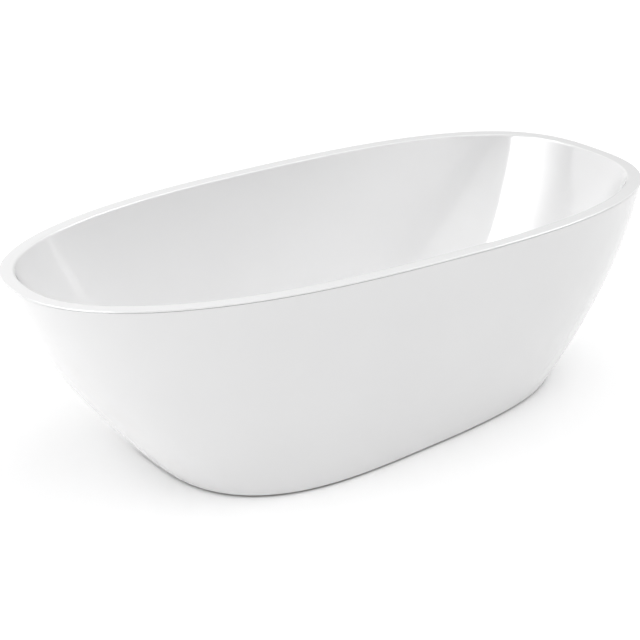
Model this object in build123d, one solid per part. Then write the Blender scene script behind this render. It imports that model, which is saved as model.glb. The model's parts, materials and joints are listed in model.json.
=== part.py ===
from build123d import *
import math
import os

# Freestanding double-walled bathtub on four levelling feet.
# Millimetres, +Z up. The origin is the centre of the footprint, on the floor.
# +X runs along the tub to its fuller end. -Y is the long side with the overflow.

# ---------------------------------------------------------------- driving dimensions

# Rim: an egg-shaped superellipse, a little fuller at the +X end
RIM_HEIGHT = 516.0
RIM_HALF_LENGTH = 850.0
RIM_HALF_WIDTH = 398.0
RIM_EXPONENT = 2.54
RIM_END_BIAS = 0.195
RIM_EGG = 0.055
RIM_LEDGE = 32.5
RIM_THICKNESS = 4.0
RIM_OUTER_ROUND = 2.5
RIM_INNER_ROUND = 4.0

# Foot of the skirt: shorter, narrower, squarer, set towards +X
FOOT_HALF_LENGTH = 558.0
FOOT_HALF_WIDTH = 318.5
FOOT_EXPONENT = 3.06
FOOT_END_BIAS = 0.255
FOOT_EGG = -0.168
FOOT_SHIFT = 29.5
END_BULGE = 0.525
SIDE_BULGE = 0.96
SKIRT_BOTTOM = 5.0
SKIRT_FOOT_ROUND = 3.0

# Bathing well
WELL_FLOOR = 125.0
WELL_HALF_LENGTH = 545.0
WELL_HALF_WIDTH = 235.0
WELL_EXPONENT = 2.60
WELL_END_BULGE = 0.35
WELL_SIDE_BULGE = 0.45
WELL_FLOOR_ROUND = 95.0

# Shell thicknesses
ACRYLIC = 5.0
SKIRT_ACRYLIC = 4.0
LAMINATE = 3.0
SKIRT_RETURN = 24.0     # width of the flange at the skirt's top, turned in under the rim
SEAM_HEIGHT = 1.0
SEAM_RECESS = 0.8
SEAM_WIDTH = 20.0
LAMINATE_SETBACK = 12.0

# Base board and steel frame
BOARD_THICKNESS = 15.0
BOARD_HALF_LENGTH = 430.0
BOARD_HALF_WIDTH = 170.0
BOARD_CORNER = 60.0
BOARD_SCREW_XS = (-330.0, -200.0, 200.0, 330.0)
TUBE_SIZE = 30.0
TUBE_WALL = 2.0
RAIL_Y = 140.0
RAIL_HALF_LENGTH = 440.0
CROSSBAR_XS = (-400.0, -135.0, 135.0, 400.0)
CROSSBAR_END_GAP = 38.0
BLOCK_HALF_WIDTH = 30.0
BLOCK_TONGUE = 24.0
BLOCK_SCREW_DEPTH = 18.0

# Screws, bolts and nuts
SCREW_RADIUS = 2.2
SCREW_HOLE = 2.3
SCREW_HEAD = 4.5
SCREW_HEAD_HEIGHT = 2.5
SCREW_SLOT = 1.2
BOARD_SCREW_COVER = 4.0
BOLT_RADIUS = 4.0
BOLT_HOLE = 4.3
BOLT_FLATS = 13.0
BOLT_HEAD_HEIGHT = 5.3
BOLT_SPARE_END = 3.0
NUT_HEIGHT = 6.5

# Levelling feet, M12 with a 1.75 mm lead
LEVEL_FEET = {
    "front_left": (-400.0, -180.0),
    "front_right": (400.0, -180.0),
    "back_left": (-400.0, 180.0),
    "back_right": (400.0, 180.0),
}
THREAD_RADIUS = 6.0
SOLE_THICKNESS = 3.0
PAD_RADIUS = 25.0
PAD_HEIGHT = 18.0
BALL_RADIUS = 8.0
BALL_HEIGHT = 12.0
BALL_NECK_RADIUS = 5.0
SPINDLE_TOP = 62.0
SPANNER_COLLAR = (22.0, 30.0)
COLLAR_FLATS = 17.0
FOOT_NUT_FLATS = 19.0
LOCK_NUT_HEIGHT = 6.0
WELD_NUT_HEIGHT = 10.0

# Drain, on the Z axis
DRAIN_RECESS_RADIUS = 42.0
DRAIN_RECESS_DEPTH = 4.0
DRAIN_HOLE_RADIUS = 26.0
DRAIN_SEAL = 1.5
LOWER_SEAL = 3.0
FLANGE_RADIUS = 35.0
UPPER_SEAL_RADIUS = 34.0
LOWER_SEAL_RADIUS = 38.0
DRAIN_SEAL_BORE = 27.0
SLEEVE_RADIUS = 24.0
SLEEVE_BORE = 21.0
SLEEVE_BOTTOM = 74.0
CHAMBER_RADIUS = 29.0
CHAMBER_BOTTOM = 40.0
CLAMP_RADIUS = 40.0
CLAMP_THICKNESS = 4.0
SPIDER_THICKNESS = 4.0
SPIDER_HUB = 9.0
SPIDER_SPOKE = 3.0
STOPPER_RADIUS = 31.5
STOPPER_SEAL_RADIUS = 30.0
STOPPER_SEAL_BORE = 24.0
STOPPER_GAP = 2.0       # between the cap's underside and the well floor
STEM_RADIUS = 3.5
CARTRIDGE_BOTTOM = 80.0
CARTRIDGE_TOP = 108.0
CARTRIDGE_RADIUS = 8.0
CARTRIDGE_BORE = 5.5
CARTRIDGE_THREAD = 5.0
CARTRIDGE_WALL = 2.0
PISTON_BOTTOM = 93.0
PISTON_THICKNESS = 3.0
SPRING_WIRE_RADIUS = 0.5
SPRING_TURNS = 4
OUTLET_RADIUS = 20.0     # the end that a trap slips over
OUTLET_LENGTH = 14.0
TAIL_RADIUS = 20.5
TAIL_BORE = 18.0
TAIL_BOTTOM = 8.0
TAIL_THREAD_RADIUS = 23.5
TAIL_THREAD_BOTTOM = 30.0
TAIL_WASHER = 3.0
TAIL_NUT_FLATS = 56.0
TAIL_NUT_LIP = 3.0
TAIL_NUT_HEIGHT = 12.0
BRANCH_END = 62.0

# Overflow, on the middle of the -Y wall of the well
OVERFLOW_HEIGHT = 420.0
OVERFLOW_HOLE_RADIUS = 15.0
COVER_RADIUS = 34.0
COVER_SEAT = 2.6
COVER_DEPTH = 9.4
COVER_WALL = 2.5
COVER_SKIRT = 3.0
COVER_BEVEL = 1.2
COVER_MOUTH_HALF_WIDTH = 17.0
COVER_GASKET_FRONT = 1.0
COVER_GASKET_WIDTH = 3.5
OVERFLOW_SCREW_RADIUS = 2.5
OVERFLOW_SCREW_HEAD = 5.5
OVERFLOW_SCREW_TIP = 26.0
REAR_SEAL = 2.5
REAR_SEAL_RADIUS = 27.0
REAR_SEAL_BORE = 17.0
ELBOW_FLANGE_RADIUS = 28.0
ELBOW_RADIUS = 23.0
ELBOW_BORE = 20.0
ELBOW_WALL = 2.5
ELBOW_BOSS = 5.5
SPOUT_RADIUS = 10.0
SPOUT_BORE = 7.5
SPOUT_DEPTH = 25.0
SPOUT_END = 46.0
HOSE_RADIUS = 13.0
HOSE_GRIP = 16.0
HOSE_HEIGHT = 54.0
HOSE_BEND = 105.0
CLIP_BAND = 1.2
CLIP_WIDTH = 10.0
CLIP_HOUSING = 6.0
CLIP_INSET = 10.0       # from the hose's end to the middle of the band

FIT = 0.05              # radial clearance of a running fit
WALL_CLEARANCE = 0.3    # gap between pieces that only rest near each other
BEHIND_GAP = 0.2        # between the laminate and what is pressed on it
OUTLINE_POINTS = 32

# ---------------------------------------------------------------- derived levels

BOARD_TOP = WELL_FLOOR - ACRYLIC - LAMINATE
BOARD_BOTTOM = BOARD_TOP - BOARD_THICKNESS
RAIL_BOTTOM = BOARD_BOTTOM - TUBE_SIZE
CROSSBAR_BOTTOM = RAIL_BOTTOM - TUBE_SIZE
BOARD_SCREW_TIP = BOARD_TOP - BOARD_SCREW_COVER
BLOCK_SCREW_TIP = CROSSBAR_BOTTOM + BLOCK_SCREW_DEPTH
SKIRT_TOP = RIM_HEIGHT - RIM_THICKNESS - SEAM_HEIGHT
RECESS_FLOOR = WELL_FLOOR - DRAIN_RECESS_DEPTH
RECESS_LAMINATE_BOTTOM = RECESS_FLOOR - ACRYLIC - LAMINATE
CLAMP_TOP = RECESS_LAMINATE_BOTTOM - LOWER_SEAL
SKIRT_LINER = SKIRT_ACRYLIC + LAMINATE
BEHIND_BASIN = -ACRYLIC - LAMINATE - BEHIND_GAP


# ---------------------------------------------------------------- small builders

def disc(radius, bottom, top, x=0.0, y=0.0):
    """Upright cylinder between two heights."""
    upright = (Align.CENTER, Align.CENTER, Align.MIN)
    return Pos(x, y, bottom) * Cylinder(radius, top - bottom, align=upright)


def ring(outer, inner, bottom, top, x=0.0, y=0.0):
    """Upright tube between two heights."""
    return disc(outer, bottom, top, x, y) - disc(inner, bottom - 1, top + 1, x, y)


def hexagon(across_flats, bottom, top, x=0.0, y=0.0):
    """Upright hexagonal bar between two heights."""
    profile = RegularPolygon(across_flats / 2, 6, major_radius=False)
    return Pos(x, y, bottom) * extrude(profile, top - bottom)


def block(low, high):
    """Box between two opposite corners."""
    size = [b - a for a, b in zip(low, high)]
    middle = [(a + b) / 2 for a, b in zip(low, high)]
    return Pos(*middle) * Box(*size)


def turned(*profile):
    """Solid of revolution about Z from (radius, height) corners."""
    outline = Plane.XZ * Polyline(*profile, close=True)
    return revolve(make_face(outline), Axis.Z, 360)


def write(name, shape):
    """One STEP file for each node; a list is a group of identical pieces."""
    if isinstance(shape, list):
        shape = Compound(children=[piece.solid() for piece in shape])
    export_step(shape, f"parts/{name}.step")


# ---------------------------------------------------------------- tub surfaces

def plan_wire(half_length, half_width, exponent, end_bias, egg, shift, z):
    """Closed plan outline: a superellipse whose corners and width change towards +X."""
    points = []
    for index in range(OUTLINE_POINTS):
        angle = 2 * math.pi * index / OUTLINE_POINTS
        c, s = math.cos(angle), math.sin(angle)
        power = 2 / (exponent + end_bias * c)
        x = half_length * math.copysign(abs(c) ** power, c)
        y = half_width * math.copysign(abs(s) ** power, s) * (1 + egg * x / half_length)
        points.append(Vector(x + shift, y, z))
    return Wire([Edge.make_spline(points, periodic=True)])


def mix(low, high, fraction):
    return low + (high - low) * fraction


def bulged(fraction, bulge):
    """Rises from 0 to 1 faster at first, so that the wall bows outwards."""
    return fraction * (1 + bulge * (1 - fraction))


def skirt_wire(z, inset):
    """Plan outline of the outer wall at a height, moved inwards by inset."""
    rise = z / RIM_HEIGHT
    return plan_wire(
        mix(FOOT_HALF_LENGTH, RIM_HALF_LENGTH, bulged(rise, END_BULGE)) - inset,
        mix(FOOT_HALF_WIDTH, RIM_HALF_WIDTH, bulged(rise, SIDE_BULGE)) - inset,
        mix(FOOT_EXPONENT, RIM_EXPONENT, rise),
        mix(FOOT_END_BIAS, RIM_END_BIAS, rise),
        mix(FOOT_EGG, RIM_EGG, rise),
        FOOT_SHIFT * (1 - rise),
        z,
    )


def well_half_width(z):
    rise = (z - WELL_FLOOR) / (RIM_HEIGHT - WELL_FLOOR)
    return mix(WELL_HALF_WIDTH, RIM_HALF_WIDTH - RIM_LEDGE, bulged(rise, WELL_SIDE_BULGE))


def well_wire(z, outset):
    """Plan outline of the bathing well at a height, moved outwards by outset."""
    rise = (z - WELL_FLOOR) / (RIM_HEIGHT - WELL_FLOOR)
    half_length = mix(WELL_HALF_LENGTH, RIM_HALF_LENGTH - RIM_LEDGE, bulged(rise, WELL_END_BULGE))
    return plan_wire(
        half_length + outset,
        well_half_width(z) + outset,
        mix(WELL_EXPONENT, RIM_EXPONENT, rise),
        RIM_END_BIAS * rise,
        RIM_EGG * rise,
        0.0,
        z,
    )


def skirt_solid(inset):
    """Everything inside the outer wall, from below the floor to above the rim."""
    heights = [-12, 90, 200, 310, 420, RIM_HEIGHT + 8]
    return Solid.make_loft([skirt_wire(z, inset) for z in heights])


def well_solid(outset, top):
    """The bathing well, grown outwards and downwards by outset, with a rounded floor edge."""
    floor = WELL_FLOOR - outset
    heights = [floor, 210, 300, 400, top]
    loft = Solid.make_loft([well_wire(z, outset) for z in heights])
    foot_edges = [
        edge for edge in loft.edges()
        if edge.bounding_box().max.Z < floor + 1
    ]
    return loft.fillet(WELL_FLOOR_ROUND + outset, foot_edges)


def slab(bottom, top):
    """A thick plate wider than the tub, to trim with."""
    reach = RIM_HALF_LENGTH + 50
    return block((-reach, -reach, bottom), (reach, reach, top))


def plan_plate(level, inset, bottom, top):
    """Flat plate with the outer wall's plan outline at one level, moved inwards by inset."""
    outline = Face(skirt_wire(level, inset)).moved(Pos(0, 0, bottom - level))
    return extrude(outline, top - bottom, dir=(0, 0, 1))


# ---------------------------------------------------------------- shells

def wall_frame():
    """Plane on the well's -Y wall at the overflow: local Z points into the well, local Y up."""
    step = 1.0
    rise = well_half_width(OVERFLOW_HEIGHT + step) - well_half_width(OVERFLOW_HEIGHT - step)
    lean = math.atan2(rise, 2 * step)
    return Plane(
        origin=(0, -well_half_width(OVERFLOW_HEIGHT), OVERFLOW_HEIGHT),
        x_dir=(-1, 0, 0),
        z_dir=(0, math.cos(lean), math.sin(lean)),
    )


def overflow_hole():
    return wall_frame() * disc(OVERFLOW_HOLE_RADIUS, -20, 20)


def make_basin(well, acrylic_back):
    """Inner acrylic shell: the well and the flat rim that lies on the skirt's return."""
    basin = plan_plate(RIM_HEIGHT, 0, RIM_HEIGHT - RIM_THICKNESS, RIM_HEIGHT)
    top_edges = [edge for edge in basin.edges() if edge.bounding_box().min.Z > RIM_HEIGHT - 1]
    basin = basin.fillet(RIM_OUTER_ROUND, top_edges)
    basin += acrylic_back & slab(0, RIM_HEIGHT)
    basin += disc(DRAIN_RECESS_RADIUS + ACRYLIC, RECESS_FLOOR - ACRYLIC, WELL_FLOOR - 1)
    basin -= well
    basin -= disc(DRAIN_RECESS_RADIUS, RECESS_FLOOR, WELL_FLOOR + 1)
    basin -= disc(DRAIN_HOLE_RADIUS, RECESS_FLOOR - ACRYLIC - 1, WELL_FLOOR)
    basin -= overflow_hole()
    inner_edges = [
        edge for edge in basin.edges()
        if edge.bounding_box().min.Z > RIM_HEIGHT - 0.5
        and edge.bounding_box().size.X < 2 * (RIM_HALF_LENGTH - RIM_LEDGE / 2)
    ]
    return basin.fillet(RIM_INNER_ROUND, inner_edges)


def make_basin_laminate(acrylic_back, laminate_back):
    """Glass-fibre layer on the back of the basin, stopping below the rim."""
    outer_recess = DRAIN_RECESS_RADIUS + ACRYLIC
    top = RIM_HEIGHT - 2 * ACRYLIC - LAMINATE
    shell = laminate_back & slab(0, top)
    shell += disc(outer_recess + LAMINATE, RECESS_LAMINATE_BOTTOM, WELL_FLOOR - ACRYLIC - 1)
    shell -= acrylic_back
    shell -= disc(outer_recess, RECESS_FLOOR - ACRYLIC, WELL_FLOOR)
    shell -= disc(DRAIN_HOLE_RADIUS, RECESS_LAMINATE_BOTTOM - 1, WELL_FLOOR)
    return shell - overflow_hole()


def make_skirt(outside, behind_acrylic):
    """Outer acrylic shell: the sloping wall with a return flange at its top."""
    return_bottom = SKIRT_TOP - SKIRT_ACRYLIC
    skirt = outside & slab(SKIRT_BOTTOM, SKIRT_TOP)
    skirt -= behind_acrylic & slab(SKIRT_BOTTOM - 1, return_bottom)
    skirt -= plan_plate(SKIRT_TOP, SKIRT_RETURN, return_bottom - 1, SKIRT_TOP + 1)
    foot_length = 2 * FOOT_HALF_LENGTH + SKIRT_ACRYLIC
    foot_edges = [
        edge for edge in skirt.edges()
        if edge.bounding_box().max.Z < SKIRT_BOTTOM + 1
        and edge.bounding_box().size.X > foot_length
    ]
    return skirt.fillet(SKIRT_FOOT_ROUND, foot_edges)


def make_seam_bead():
    """Bed of adhesive and filler between the rim and the skirt's return."""
    top = SKIRT_TOP + SEAM_HEIGHT
    outer = plan_plate(SKIRT_TOP, SEAM_RECESS, SKIRT_TOP, top)
    return outer - plan_plate(SKIRT_TOP, SEAM_RECESS + SEAM_WIDTH, SKIRT_TOP - 1, top + 1)


# ---------------------------------------------------------------- base board and frame

def make_board():
    profile = RectangleRounded(2 * BOARD_HALF_LENGTH, 2 * BOARD_HALF_WIDTH, BOARD_CORNER)
    board = Pos(0, 0, BOARD_BOTTOM) * extrude(profile, BOARD_THICKNESS)
    board -= disc(DRAIN_RECESS_RADIUS + ACRYLIC + LAMINATE + 2, BOARD_BOTTOM - 1, BOARD_TOP + 1)
    for x, y in board_screw_places():
        board -= disc(SCREW_HOLE, BOARD_BOTTOM - 1, BOARD_SCREW_TIP, x, y)
    return board


def board_screw_places():
    return [(x, y) for x in BOARD_SCREW_XS for y in (-RAIL_Y, RAIL_Y)]


def crossing_places():
    return [(x, y) for x in CROSSBAR_XS for y in (-RAIL_Y, RAIL_Y)]


def make_rail(y):
    """Square steel tube under the board, with its screw and bolt holes."""
    half = TUBE_SIZE / 2
    inner = half - TUBE_WALL
    rail = block((-RAIL_HALF_LENGTH, y - half, RAIL_BOTTOM), (RAIL_HALF_LENGTH, y + half, BOARD_BOTTOM))
    rail -= block((-RAIL_HALF_LENGTH - 1, y - inner, RAIL_BOTTOM + TUBE_WALL),
                  (RAIL_HALF_LENGTH + 1, y + inner, BOARD_BOTTOM - TUBE_WALL))
    for x, screw_y in board_screw_places():
        if screw_y == y:
            rail -= disc(SCREW_HOLE, RAIL_BOTTOM - 1, BOARD_BOTTOM + 1, x, y)
    for x in CROSSBAR_XS:
        rail -= disc(BOLT_HOLE, RAIL_BOTTOM - 1, RAIL_BOTTOM + TUBE_WALL + 1, x, y)
    return rail


def skirt_reach(x, z):
    """Half width of the space inside the lined skirt at one place along the tub."""
    probe = Edge.make_line((x, 0, z), (x, RIM_HALF_WIDTH, z))
    outline = skirt_wire(z, SKIRT_LINER)
    return min(point.Y for point in probe.find_intersection_points(outline.edge()))


def crossbar_half_length(x):
    """Half length that leaves room for a wooden block between bar and skirt."""
    return CROSSBAR_REACH[x] - CROSSBAR_END_GAP


def make_crossbar(x):
    """Square steel tube across the tub, under the rails."""
    half = TUBE_SIZE / 2
    inner = half - TUBE_WALL
    reach = crossbar_half_length(x)
    bar = block((x - half, -reach, CROSSBAR_BOTTOM), (x + half, reach, RAIL_BOTTOM))
    bar -= block((x - inner, -reach - 1, CROSSBAR_BOTTOM + TUBE_WALL),
                 (x + inner, reach + 1, RAIL_BOTTOM - TUBE_WALL))
    for y in (-RAIL_Y, RAIL_Y):
        bar -= disc(BOLT_HOLE, CROSSBAR_BOTTOM - 1, RAIL_BOTTOM + 1, x, y)
    for foot_x, foot_y in LEVEL_FEET.values():
        if foot_x == x:
            bottom = CROSSBAR_BOTTOM
            bar -= disc(THREAD_RADIUS + 0.6, bottom - 1, bottom + TUBE_WALL + 1, x, foot_y)
    for side in (-1, 1):
        bar -= disc(SCREW_HOLE, CROSSBAR_BOTTOM - 1, CROSSBAR_BOTTOM + TUBE_WALL + 1,
                    x, side * (reach - BLOCK_TONGUE / 2))
    return bar


def make_skirt_block(x, side, room):
    """Wooden block bonded inside the skirt, with a tongue that fits in the crossbar's end."""
    reach = crossbar_half_length(x)
    inner = TUBE_SIZE / 2 - TUBE_WALL - WALL_CLEARANCE
    near, far = sorted((side * (reach + WALL_CLEARANCE), side * RIM_HALF_WIDTH))
    body = block((x - BLOCK_HALF_WIDTH, near, CROSSBAR_BOTTOM), (x + BLOCK_HALF_WIDTH, far, RAIL_BOTTOM))
    body &= room
    near, far = sorted((side * (reach - BLOCK_TONGUE), side * (reach + 5)))
    bottom = CROSSBAR_BOTTOM + TUBE_WALL + WALL_CLEARANCE
    top = RAIL_BOTTOM - TUBE_WALL - WALL_CLEARANCE
    body += block((x - inner, near, bottom), (x + inner, far, top))
    return body - disc(SCREW_RADIUS, CROSSBAR_BOTTOM - 1, BLOCK_SCREW_TIP,
                       x, side * (reach - BLOCK_TONGUE / 2))


def make_screw(x, y, bearing, tip):
    """Pan-head screw driven upwards: its head bears on the height given."""
    face = bearing - SCREW_HEAD_HEIGHT
    screw = disc(SCREW_HEAD, face, bearing, x, y)
    screw -= block((x - SCREW_HEAD, y - SCREW_SLOT / 2, face - 1),
                   (x + SCREW_HEAD, y + SCREW_SLOT / 2, face + SCREW_SLOT))
    return screw + disc(SCREW_RADIUS, bearing, tip, x, y)


def make_frame_bolt(x, y):
    head = hexagon(BOLT_FLATS, CROSSBAR_BOTTOM - BOLT_HEAD_HEIGHT, CROSSBAR_BOTTOM, x, y)
    tip = RAIL_BOTTOM + TUBE_WALL + NUT_HEIGHT + BOLT_SPARE_END
    return head + disc(BOLT_RADIUS, CROSSBAR_BOTTOM, tip, x, y)


def make_rail_nut(x, y):
    bottom = RAIL_BOTTOM + TUBE_WALL
    nut = hexagon(BOLT_FLATS, bottom, bottom + NUT_HEIGHT, x, y)
    return nut - disc(BOLT_RADIUS + FIT, bottom - 1, bottom + NUT_HEIGHT + 1, x, y)


# ---------------------------------------------------------------- levelling feet

def make_sole(x, y):
    """Rubber disc under the pad."""
    chamfer = 1.0
    sole = turned((0, 0), (PAD_RADIUS - chamfer, 0), (PAD_RADIUS, chamfer),
                  (PAD_RADIUS, SOLE_THICKNESS), (0, SOLE_THICKNESS))
    return Pos(x, y, 0) * sole


def make_pad(x, y):
    """Moulded foot with a spherical socket for the spindle's ball."""
    edge_top = SOLE_THICKNESS + 5
    neck = BALL_RADIUS + 3.5
    pad = turned((0, SOLE_THICKNESS), (PAD_RADIUS, SOLE_THICKNESS), (PAD_RADIUS, edge_top),
                 (neck + 2, PAD_HEIGHT - 3), (neck, PAD_HEIGHT), (0, PAD_HEIGHT))
    pad -= Pos(0, 0, BALL_HEIGHT) * Sphere(BALL_RADIUS + FIT)
    return Pos(x, y, 0) * pad


def make_spindle(x, y):
    """Threaded rod with a ball end and a spanner collar."""
    collar_bottom, collar_top = SPANNER_COLLAR
    chamfer = 1.0
    spindle = Pos(0, 0, BALL_HEIGHT) * Sphere(BALL_RADIUS)
    spindle += disc(BALL_NECK_RADIUS, BALL_HEIGHT, collar_bottom)
    spindle += hexagon(COLLAR_FLATS, collar_bottom, collar_top)
    spindle += turned((0, collar_top), (THREAD_RADIUS, collar_top),
                      (THREAD_RADIUS, SPINDLE_TOP - chamfer),
                      (THREAD_RADIUS - chamfer, SPINDLE_TOP), (0, SPINDLE_TOP))
    return Pos(x, y, 0) * spindle


def make_foot_nut(x, y, bottom, height):
    nut = hexagon(FOOT_NUT_FLATS, bottom, bottom + height, x, y)
    return nut - disc(THREAD_RADIUS + FIT, bottom - 1, bottom + height + 1, x, y)


# ---------------------------------------------------------------- drain

def make_drain_flange():
    """Chrome flange with its threaded sleeve and the spider that holds the cartridge."""
    lip_bottom = RECESS_FLOOR + DRAIN_SEAL
    bevel = 0.8
    lead_in = 1.5
    flange = turned((SLEEVE_BORE, SLEEVE_BOTTOM), (SLEEVE_RADIUS, SLEEVE_BOTTOM),
                    (SLEEVE_RADIUS, lip_bottom), (FLANGE_RADIUS, lip_bottom),
                    (FLANGE_RADIUS, WELL_FLOOR - bevel), (FLANGE_RADIUS - bevel, WELL_FLOOR),
                    (SLEEVE_BORE + lead_in, WELL_FLOOR), (SLEEVE_BORE, WELL_FLOOR - 2 * lead_in))
    top = CARTRIDGE_BOTTOM
    bottom = top - SPIDER_THICKNESS
    reach = SLEEVE_BORE + 1
    for turn in (0, 90):
        spoke = block((-reach, -SPIDER_SPOKE / 2, bottom), (reach, SPIDER_SPOKE / 2, top))
        flange += spoke.rotate(Axis.Z, turn)
    flange += disc(SPIDER_HUB, bottom, top)
    return flange - disc(CARTRIDGE_THREAD + FIT, bottom - 1, top + 1)


def make_cartridge():
    """Brass spring cartridge of the push-open stopper, screwed into the spider."""
    thread_bottom = CARTRIDGE_BOTTOM - SPIDER_THICKNESS - 1
    throat = CARTRIDGE_TOP - 3
    chamber_floor = CARTRIDGE_BOTTOM + CARTRIDGE_WALL
    return turned((0, thread_bottom), (CARTRIDGE_THREAD, thread_bottom),
                  (CARTRIDGE_THREAD, CARTRIDGE_BOTTOM), (CARTRIDGE_RADIUS, CARTRIDGE_BOTTOM),
                  (CARTRIDGE_RADIUS, CARTRIDGE_TOP), (STEM_RADIUS + FIT, CARTRIDGE_TOP),
                  (STEM_RADIUS + FIT, throat), (CARTRIDGE_BORE, throat),
                  (CARTRIDGE_BORE, chamber_floor), (0, chamber_floor))


def make_stem():
    """Sliding stem with the piston that the spring pushes on."""
    piston_top = PISTON_BOTTOM + PISTON_THICKNESS
    return turned((0, PISTON_BOTTOM), (CARTRIDGE_BORE - FIT, PISTON_BOTTOM),
                  (CARTRIDGE_BORE - FIT, piston_top), (STEM_RADIUS, piston_top),
                  (STEM_RADIUS, WELL_FLOOR + 1), (0, WELL_FLOOR + 1))


def make_spring():
    """Coil spring between the cartridge's floor and the piston."""
    wire = SPRING_WIRE_RADIUS
    end_gap = wire + 0.1
    coil = CARTRIDGE_BORE - wire - WALL_CLEARANCE
    bottom = CARTRIDGE_BOTTOM + CARTRIDGE_WALL + end_gap
    height = PISTON_BOTTOM - bottom - end_gap
    path = Pos(0, 0, bottom) * Edge.make_helix(height / SPRING_TURNS, height, coil)
    section = Plane(origin=path @ 0, z_dir=path % 0) * Circle(wire)
    return sweep(section, path=path, is_frenet=True)


def make_stopper_cap():
    """Domed chrome cap over the drain, with a boss for the stem."""
    underside = WELL_FLOOR + STOPPER_GAP
    edge_top = underside + 2
    crown = underside + 5
    boss = STEM_RADIUS + 3
    rise = crown - edge_top
    dome_radius = (STOPPER_RADIUS ** 2 + rise ** 2) / (2 * rise)
    cap = disc(STOPPER_RADIUS, underside, crown + 1)
    cap &= Pos(0, 0, crown - dome_radius) * Sphere(dome_radius)
    cap += disc(boss, WELL_FLOOR - 3, underside)
    return cap - disc(STEM_RADIUS + FIT, WELL_FLOOR - 4, WELL_FLOOR + 1)


def make_drain_body():
    """Plastic body clamped under the tub: chamber, overflow branch and threaded outlet."""
    clamp_bottom = CLAMP_TOP - CLAMP_THICKNESS
    floor_top = CHAMBER_BOTTOM + 3
    bore = SLEEVE_RADIUS + FIT
    body = turned((bore, CLAMP_TOP), (CLAMP_RADIUS, CLAMP_TOP), (CLAMP_RADIUS, clamp_bottom),
                  (CHAMBER_RADIUS, clamp_bottom), (CHAMBER_RADIUS, CHAMBER_BOTTOM),
                  (TAIL_THREAD_RADIUS, CHAMBER_BOTTOM), (TAIL_THREAD_RADIUS, TAIL_THREAD_BOTTOM),
                  (TAIL_RADIUS + FIT, TAIL_THREAD_BOTTOM), (TAIL_RADIUS + FIT, floor_top),
                  (bore, floor_top))
    branch = Pos(0, 0, HOSE_HEIGHT) * Rot(90, 0, 0) * Cylinder(
        SPOUT_RADIUS, BRANCH_END, align=(Align.CENTER, Align.CENTER, Align.MIN))
    channel = Pos(0, 0, HOSE_HEIGHT) * Rot(90, 0, 0) * Cylinder(
        SPOUT_BORE, BRANCH_END + 1, align=(Align.CENTER, Align.CENTER, Align.MIN))
    body += branch - disc(bore + 1, CHAMBER_BOTTOM - 1, CLAMP_TOP)
    return body - channel


def make_tailpiece():
    """Short outlet pipe: held by the nut above, stepped down below to the trap's size."""
    shoulder = TAIL_BOTTOM + OUTLET_LENGTH
    pipe = disc(OUTLET_RADIUS, TAIL_BOTTOM, shoulder)
    pipe += disc(TAIL_RADIUS, shoulder, CHAMBER_BOTTOM + 1)
    return pipe - disc(TAIL_BORE, TAIL_BOTTOM - 1, CHAMBER_BOTTOM + 2)


def make_tail_nut():
    """Hexagonal nut that squeezes the tail washer against the outlet."""
    bottom = TAIL_THREAD_BOTTOM - TAIL_WASHER - TAIL_NUT_LIP
    top = bottom + TAIL_NUT_HEIGHT
    nut = hexagon(TAIL_NUT_FLATS, bottom, top)
    nut -= disc(TAIL_RADIUS + FIT, bottom - 1, bottom + TAIL_NUT_LIP + 1)
    return nut - disc(TAIL_THREAD_RADIUS + FIT, bottom + TAIL_NUT_LIP, top + 1)


# ---------------------------------------------------------------- overflow

def make_overflow_cover():
    """Chrome cup over the overflow, open at its lower edge for the water."""
    face = COVER_SEAT + COVER_DEPTH
    inside = face - COVER_WALL
    inner_radius = COVER_RADIUS - COVER_SKIRT
    cup = turned((0, face), (COVER_RADIUS - COVER_BEVEL, face), (COVER_RADIUS, face - COVER_BEVEL),
                 (COVER_RADIUS, COVER_SEAT), (inner_radius, COVER_SEAT), (inner_radius, inside),
                 (0, inside))
    cup -= disc(OVERFLOW_SCREW_RADIUS + 0.2, inside - 1, face + 1)
    mouth = block((-COVER_MOUTH_HALF_WIDTH, -COVER_RADIUS - 1, COVER_SEAT + 1.4),
                  (COVER_MOUTH_HALF_WIDTH, -COVER_RADIUS + 8, inside))
    return wall_frame() * (cup - mouth)


def make_overflow_screw():
    """Chrome screw through the cover into the elbow's boss."""
    bearing = COVER_SEAT + COVER_DEPTH
    shoulder = bearing + 1.4
    top = shoulder + COVER_BEVEL
    head = OVERFLOW_SCREW_HEAD
    screw = turned((0, -OVERFLOW_SCREW_TIP), (OVERFLOW_SCREW_RADIUS, -OVERFLOW_SCREW_TIP),
                   (OVERFLOW_SCREW_RADIUS, bearing), (head, bearing), (head, shoulder),
                   (head - COVER_BEVEL, top), (0, top))
    screw -= hexagon(4.0, shoulder, top + 1)
    return wall_frame() * screw


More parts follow.
